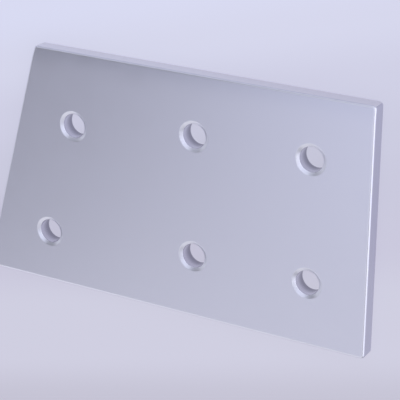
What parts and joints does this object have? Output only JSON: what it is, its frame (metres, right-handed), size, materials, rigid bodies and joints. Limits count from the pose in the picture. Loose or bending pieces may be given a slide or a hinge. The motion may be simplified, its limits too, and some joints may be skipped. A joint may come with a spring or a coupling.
{
  "type": "extrusion joining plate",
  "caption": "Flat anodised aluminium plate with one square end, one slanted end and countersunk screw holes; it joins slotted profiles at a slight angle.",
  "frame": {"origin": "centre of the square of four screw holes, on the back face that seats on the profiles", "axes": "+X along the long edges towards the square end, +Y towards the shorter long edge, +Z out of the front face, where the screw heads sit"},
  "size_m": [0.1578, 0.091, 0.006],
  "materials": {
    "anodised_aluminium": "fine satin, clear anodised"
  },
  "bodies": {
    "root": {"joining_plate": "anodised_aluminium"}
  },
  "joints": []
}
